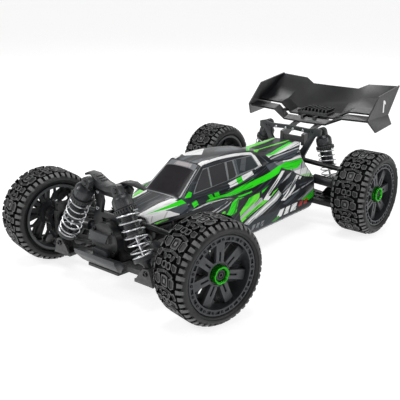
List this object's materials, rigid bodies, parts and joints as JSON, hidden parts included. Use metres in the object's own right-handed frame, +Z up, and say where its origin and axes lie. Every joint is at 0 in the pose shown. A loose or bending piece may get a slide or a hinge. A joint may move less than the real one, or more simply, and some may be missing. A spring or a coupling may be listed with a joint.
{
  "type": "radio-control buggy",
  "caption": "Four-wheel-drive off-road radio-control buggy with steered front wheels, coil-over suspension on every corner, painted shell body and a rear wing.",
  "frame": {"origin": "on the ground under the middle of the buggy's overall box", "axes": "+Z up, -Y towards the front of the buggy, +X towards its left side"},
  "size_m": [0.318, 0.5229, 0.174],
  "materials": {
    "tub_plastic": "moulded nylon",
    "body_paint": "clear polycarbonate painted inside, gloss",
    "tower_plastic": "satin moulded nylon",
    "gearbox_plastic": "satin moulded nylon",
    "bumper_plastic": "satin moulded nylon",
    "guard_plastic": "satin moulded nylon",
    "wing_plastic": "satin",
    "strut_plastic": "satin",
    "motor_can": "anodised",
    "battery_wrap": "shrink wrap",
    "esc_case": "finned case",
    "servo_case": "case",
    "steel_pin": "ground",
    "gear_plastic": "moulded nylon",
    "pinion_steel": "hardened",
    "bellcrank_plastic": "moulded nylon",
    "drag_alloy": "anodised",
    "arm_plastic": "satin moulded nylon",
    "hub_plastic": "satin moulded nylon",
    "knuckle_plastic": "satin moulded nylon",
    "link_plastic": "satin moulded nylon",
    "rim_plastic": "satin grey moulded nylon",
    "tyre_rubber": "matt black rubber",
    "shaft_plastic": "satin moulded nylon",
    "shock_plastic": "satin moulded nylon",
    "shock_chrome": "polished shaft",
    "spring_steel": "bright coil"
  },
  "bodies": {
    "chassis": {"chassis_tub": "tub_plastic", "body_shell": "body_paint", "front_shock_tower": "tower_plastic", "rear_shock_tower": "tower_plastic", "front_gearbox": "gearbox_plastic", "rear_gearbox": "gearbox_plastic", "front_bumper": "bumper_plastic", "tower_guard": "guard_plastic", "wing": "wing_plastic", "wing_mount": "strut_plastic", "motor": "motor_can", "battery": "battery_wrap", "speed_control": "esc_case", "steering_servo": "servo_case", "hinge_pins": "steel_pin"},
    "spur_gear": {"spur_gear": "gear_plastic"},
    "pinion": {"pinion": "pinion_steel"},
    "bellcrank_left": {"bellcrank_left": "bellcrank_plastic"},
    "bellcrank_right": {"bellcrank_right": "bellcrank_plastic"},
    "drag_link": {"drag_link": "drag_alloy"},
    "arm_fl": {"arm_fl": "arm_plastic"},
    "caster_block_fl": {"caster_block_fl": "hub_plastic"},
    "knuckle_fl": {"knuckle_fl": "knuckle_plastic"},
    "wheel_fl": {"rim_fl": "rim_plastic", "tyre_fl": "tyre_rubber"},
    "camber_link_fl": {"camber_link_fl": "link_plastic"},
    "toe_link_fl": {"toe_link_fl": "link_plastic"},
    "driveshaft_fl": {"driveshaft_fl": "shaft_plastic"},
    "shock_body_fl": {"shock_body_fl": "shock_plastic", "spring_fl": "spring_steel"},
    "shock_rod_fl": {"shock_rod_fl": "shock_chrome"},
    "arm_fr": {"arm_fr": "arm_plastic"},
    "caster_block_fr": {"caster_block_fr": "hub_plastic"},
    "knuckle_fr": {"knuckle_fr": "knuckle_plastic"},
    "wheel_fr": {"rim_fr": "rim_plastic", "tyre_fr": "tyre_rubber"},
    "camber_link_fr": {"camber_link_fr": "link_plastic"},
    "toe_link_fr": {"toe_link_fr": "link_plastic"},
    "driveshaft_fr": {"driveshaft_fr": "shaft_plastic"},
    "shock_body_fr": {"shock_body_fr": "shock_plastic", "spring_fr": "spring_steel"},
    "shock_rod_fr": {"shock_rod_fr": "shock_chrome"},
    "arm_rl": {"arm_rl": "arm_plastic"},
    "hub_carrier_rl": {"hub_carrier_rl": "hub_plastic"},
    "wheel_rl": {"rim_rl": "rim_plastic", "tyre_rl": "tyre_rubber"},
    "camber_link_rl": {"camber_link_rl": "link_plastic"},
    "driveshaft_rl": {"driveshaft_rl": "shaft_plastic"},
    "shock_body_rl": {"shock_body_rl": "shock_plastic", "spring_rl": "spring_steel"},
    "shock_rod_rl": {"shock_rod_rl": "shock_chrome"},
    "arm_rr": {"arm_rr": "arm_plastic"},
    "hub_carrier_rr": {"hub_carrier_rr": "hub_plastic"},
    "wheel_rr": {"rim_rr": "rim_plastic", "tyre_rr": "tyre_rubber"},
    "camber_link_rr": {"camber_link_rr": "link_plastic"},
    "driveshaft_rr": {"driveshaft_rr": "shaft_plastic"},
    "shock_body_rr": {"shock_body_rr": "shock_plastic", "spring_rr": "spring_steel"},
    "shock_rod_rr": {"shock_rod_rr": "shock_chrome"}
  },
  "joints": [
    {"name": "arm_fl_hinge", "type": "hinge", "parent": "chassis", "child": "arm_fl", "pos_m": [0.024, -0.2015, 0.033], "axis": [0, -1, 0], "range_deg": [-10, 15], "stiffness_Nm_per_rad": 4, "springref_deg": -4.3},
    {"name": "caster_block_fl_hinge", "type": "hinge", "parent": "arm_fl", "child": "caster_block_fl", "pos_m": [0.098, -0.2015, 0.029], "axis": [0, -1, 0], "range_deg": [-15, 10]},
    {"name": "camber_link_fl_hinge", "type": "hinge", "parent": "chassis", "child": "camber_link_fl", "pos_m": [0.024, -0.1955, 0.074], "axis": [0, -1, 0], "range_deg": [-10, 15]},
    {"name": "driveshaft_fl_swing", "type": "hinge", "parent": "chassis", "child": "driveshaft_fl", "pos_m": [0.035, -0.2015, 0.058], "axis": [0, -1, 0], "range_deg": [-10, 15]},
    {"name": "shock_body_fl_hinge", "type": "hinge", "parent": "chassis", "child": "shock_body_fl", "pos_m": [0.0225, -0.2265, 0.119], "axis": [0, -1, 0], "range_deg": [-1.36, 2.04]},
    {"name": "shock_rod_fl_slide", "type": "slide", "parent": "shock_body_fl", "child": "shock_rod_fl", "axis": [-0.4871, 0, 0.8734], "range_m": [-0.00715, 0.01072], "deforming": ["spring_fl"]},
    {"name": "knuckle_fl_steer", "type": "hinge", "parent": "caster_block_fl", "child": "knuckle_fl", "pos_m": [0.109, -0.2015, 0.054], "axis": [0, 0, 1], "range_deg": [-13.5, 38.5]},
    {"name": "wheel_fl_spin", "type": "hinge", "parent": "knuckle_fl", "child": "wheel_fl", "pos_m": [0.12462, -0.20496, 0.054], "axis": [0.9763, -0.2164, 0], "continuous": true},
    {"name": "arm_fr_hinge", "type": "hinge", "parent": "chassis", "child": "arm_fr", "pos_m": [-0.024, -0.2015, 0.033], "axis": [0, 1, 0], "range_deg": [-10, 15], "stiffness_Nm_per_rad": 4, "springref_deg": -4.3},
    {"name": "caster_block_fr_hinge", "type": "hinge", "parent": "arm_fr", "child": "caster_block_fr", "pos_m": [-0.098, -0.2015, 0.029], "axis": [0, 1, 0], "range_deg": [-15, 10]},
    {"name": "camber_link_fr_hinge", "type": "hinge", "parent": "chassis", "child": "camber_link_fr", "pos_m": [-0.024, -0.1955, 0.074], "axis": [0, 1, 0], "range_deg": [-10, 15]},
    {"name": "driveshaft_fr_swing", "type": "hinge", "parent": "chassis", "child": "driveshaft_fr", "pos_m": [-0.035, -0.2015, 0.058], "axis": [0, 1, 0], "range_deg": [-10, 15]},
    {"name": "shock_body_fr_hinge", "type": "hinge", "parent": "chassis", "child": "shock_body_fr", "pos_m": [-0.0225, -0.2265, 0.119], "axis": [0, 1, 0], "range_deg": [-1.36, 2.04]},
    {"name": "shock_rod_fr_slide", "type": "slide", "parent": "shock_body_fr", "child": "shock_rod_fr", "axis": [0.4871, 0, 0.8734], "range_m": [-0.00715, 0.01072], "deforming": ["spring_fr"]},
    {"name": "knuckle_fr_steer", "type": "hinge", "parent": "caster_block_fr", "child": "knuckle_fr", "pos_m": [-0.109, -0.2015, 0.054], "axis": [0, 0, 1], "range_deg": [-13.51, 38.51]},
    {"name": "wheel_fr_spin", "type": "hinge", "parent": "knuckle_fr", "child": "wheel_fr", "pos_m": [-0.12462, -0.19804, 0.054], "axis": [0.9763, -0.2164, 0], "continuous": true},
    {"name": "arm_rl_hinge", "type": "hinge", "parent": "chassis", "child": "arm_rl", "pos_m": [0.024, 0.1225, 0.033], "axis": [0, -1, 0], "range_deg": [-10, 15], "stiffness_Nm_per_rad": 4, "springref_deg": -4.3},
    {"name": "hub_carrier_rl_hinge", "type": "hinge", "parent": "arm_rl", "child": "hub_carrier_rl", "pos_m": [0.098, 0.1225, 0.029], "axis": [0, -1, 0], "range_deg": [-15, 10]},
    {"name": "camber_link_rl_hinge", "type": "hinge", "parent": "chassis", "child": "camber_link_rl", "pos_m": [0.024, 0.1245, 0.08], "axis": [0, -1, 0], "range_deg": [-10, 15]},
    {"name": "driveshaft_rl_swing", "type": "hinge", "parent": "chassis", "child": "driveshaft_rl", "pos_m": [0.035, 0.1225, 0.058], "axis": [0, -1, 0], "range_deg": [-10, 15]},
    {"name": "shock_body_rl_hinge", "type": "hinge", "parent": "chassis", "child": "shock_body_rl", "pos_m": [0.044, 0.1435, 0.119], "axis": [0, -1, 0], "range_deg": [-0.2401, 0.3601]},
    {"name": "shock_rod_rl_slide", "type": "slide", "parent": "shock_body_rl", "child": "shock_rod_rl", "axis": [-0.2715, 0, 0.9624], "range_m": [-0.00745, 0.01116], "deforming": ["spring_rl"]},
    {"name": "wheel_rl_spin", "type": "hinge", "parent": "hub_carrier_rl", "child": "wheel_rl", "pos_m": [0.125, 0.1225, 0.054], "axis": [1, 0, 0], "continuous": true},
    {"name": "arm_rr_hinge", "type": "hinge", "parent": "chassis", "child": "arm_rr", "pos_m": [-0.024, 0.1225, 0.033], "axis": [0, 1, 0], "range_deg": [-10, 15], "stiffness_Nm_per_rad": 4, "springref_deg": -4.3},
    {"name": "hub_carrier_rr_hinge", "type": "hinge", "parent": "arm_rr", "child": "hub_carrier_rr", "pos_m": [-0.098, 0.1225, 0.029], "axis": [0, 1, 0], "range_deg": [-15, 10]},
    {"name": "camber_link_rr_hinge", "type": "hinge", "parent": "chassis", "child": "camber_link_rr", "pos_m": [-0.024, 0.1245, 0.08], "axis": [0, 1, 0], "range_deg": [-10, 15]},
    {"name": "driveshaft_rr_swing", "type": "hinge", "parent": "chassis", "child": "driveshaft_rr", "pos_m": [-0.035, 0.1225, 0.058], "axis": [0, 1, 0], "range_deg": [-10, 15]},
    {"name": "shock_body_rr_hinge", "type": "hinge", "parent": "chassis", "child": "shock_body_rr", "pos_m": [-0.044, 0.1435, 0.119], "axis": [0, 1, 0], "range_deg": [-0.2401, 0.3601]},
    {"name": "shock_rod_rr_slide", "type": "slide", "parent": "shock_body_rr", "child": "shock_rod_rr", "axis": [0.2715, 0, 0.9624], "range_m": [-0.00745, 0.01116], "deforming": ["spring_rr"]},
    {"name": "wheel_rr_spin", "type": "hinge", "parent": "hub_carrier_rr", "child": "wheel_rr", "pos_m": [-0.125, 0.1225, 0.054], "axis": [1, 0, 0], "continuous": true},
    {"name": "bellcrank_left_pivot", "type": "hinge", "parent": "chassis", "child": "bellcrank_left", "pos_m": [0.018, -0.1755, 0.06], "axis": [0, 0, 1], "range_deg": [-13.51, 38.51]},
    {"name": "bellcrank_right_pivot", "type": "hinge", "parent": "chassis", "child": "bellcrank_right", "pos_m": [-0.018, -0.1755, 0.06], "axis": [0, 0, 1], "range_deg": [-13.51, 38.51]},
    {"name": "drag_link_pivot", "type": "hinge", "parent": "bellcrank_left", "child": "drag_link", "pos_m": [0.0232, -0.15207, 0.056], "axis": [0, 0, 1], "range_deg": [-38.51, 13.51]},
    {"name": "toe_link_fl_hinge", "type": "hinge", "parent": "drag_link", "child": "toe_link_fl", "pos_m": [0.0402, -0.15207, 0.056], "axis": [0, -1, 0], "range_deg": [-10, 15]},
    {"name": "toe_link_fr_hinge", "type": "hinge", "parent": "drag_link", "child": "toe_link_fr", "pos_m": [-0.02981, -0.15207, 0.056], "axis": [0, 1, 0], "range_deg": [-10, 15]},
    {"name": "spur_gear_spin", "type": "hinge", "parent": "chassis", "child": "spur_gear", "pos_m": [0, 0.0205, 0.052], "axis": [0, 1, 0], "continuous": true},
    {"name": "pinion_spin", "type": "hinge", "parent": "chassis", "child": "pinion", "pos_m": [0.026, 0.0205, 0.052], "axis": [0, 1, 0], "continuous": true}
  ],
  "couplings": [
    {"joint": "caster_block_fl_hinge", "follows": "arm_fl_hinge", "ratio": -1},
    {"joint": "camber_link_fl_hinge", "follows": "arm_fl_hinge", "ratio": 1},
    {"joint": "driveshaft_fl_swing", "follows": "arm_fl_hinge", "ratio": 1},
    {"joint": "shock_body_fl_hinge", "follows": "arm_fl_hinge", "ratio": 0.136},
    {"joint": "shock_rod_fl_slide", "follows": "arm_fl_hinge", "m_per_rad": 0.0409},
    {"joint": "caster_block_fr_hinge", "follows": "arm_fr_hinge", "ratio": -1},
    {"joint": "camber_link_fr_hinge", "follows": "arm_fr_hinge", "ratio": 1},
    {"joint": "driveshaft_fr_swing", "follows": "arm_fr_hinge", "ratio": 1},
    {"joint": "shock_body_fr_hinge", "follows": "arm_fr_hinge", "ratio": 0.136},
    {"joint": "shock_rod_fr_slide", "follows": "arm_fr_hinge", "m_per_rad": 0.0409},
    {"joint": "knuckle_fr_steer", "follows": "knuckle_fl_steer", "ratio": 1},
    {"joint": "hub_carrier_rl_hinge", "follows": "arm_rl_hinge", "ratio": -1},
    {"joint": "camber_link_rl_hinge", "follows": "arm_rl_hinge", "ratio": 1},
    {"joint": "driveshaft_rl_swing", "follows": "arm_rl_hinge", "ratio": 1},
    {"joint": "shock_body_rl_hinge", "follows": "arm_rl_hinge", "ratio": 0.024},
    {"joint": "shock_rod_rl_slide", "follows": "arm_rl_hinge", "m_per_rad": 0.0426},
    {"joint": "hub_carrier_rr_hinge", "follows": "arm_rr_hinge", "ratio": -1},
    {"joint": "camber_link_rr_hinge", "follows": "arm_rr_hinge", "ratio": 1},
    {"joint": "driveshaft_rr_swing", "follows": "arm_rr_hinge", "ratio": 1},
    {"joint": "shock_body_rr_hinge", "follows": "arm_rr_hinge", "ratio": 0.024},
    {"joint": "shock_rod_rr_slide", "follows": "arm_rr_hinge", "m_per_rad": 0.0426},
    {"joint": "bellcrank_left_pivot", "follows": "knuckle_fl_steer", "ratio": 1},
    {"joint": "bellcrank_right_pivot", "follows": "knuckle_fl_steer", "ratio": 1},
    {"joint": "drag_link_pivot", "follows": "knuckle_fl_steer", "ratio": -1},
    {"joint": "toe_link_fl_hinge", "follows": "arm_fl_hinge", "ratio": 1},
    {"joint": "toe_link_fr_hinge", "follows": "arm_fr_hinge", "ratio": 1},
    {"joint": "pinion_spin", "follows": "spur_gear_spin", "ratio": -3.3333}
  ]
}
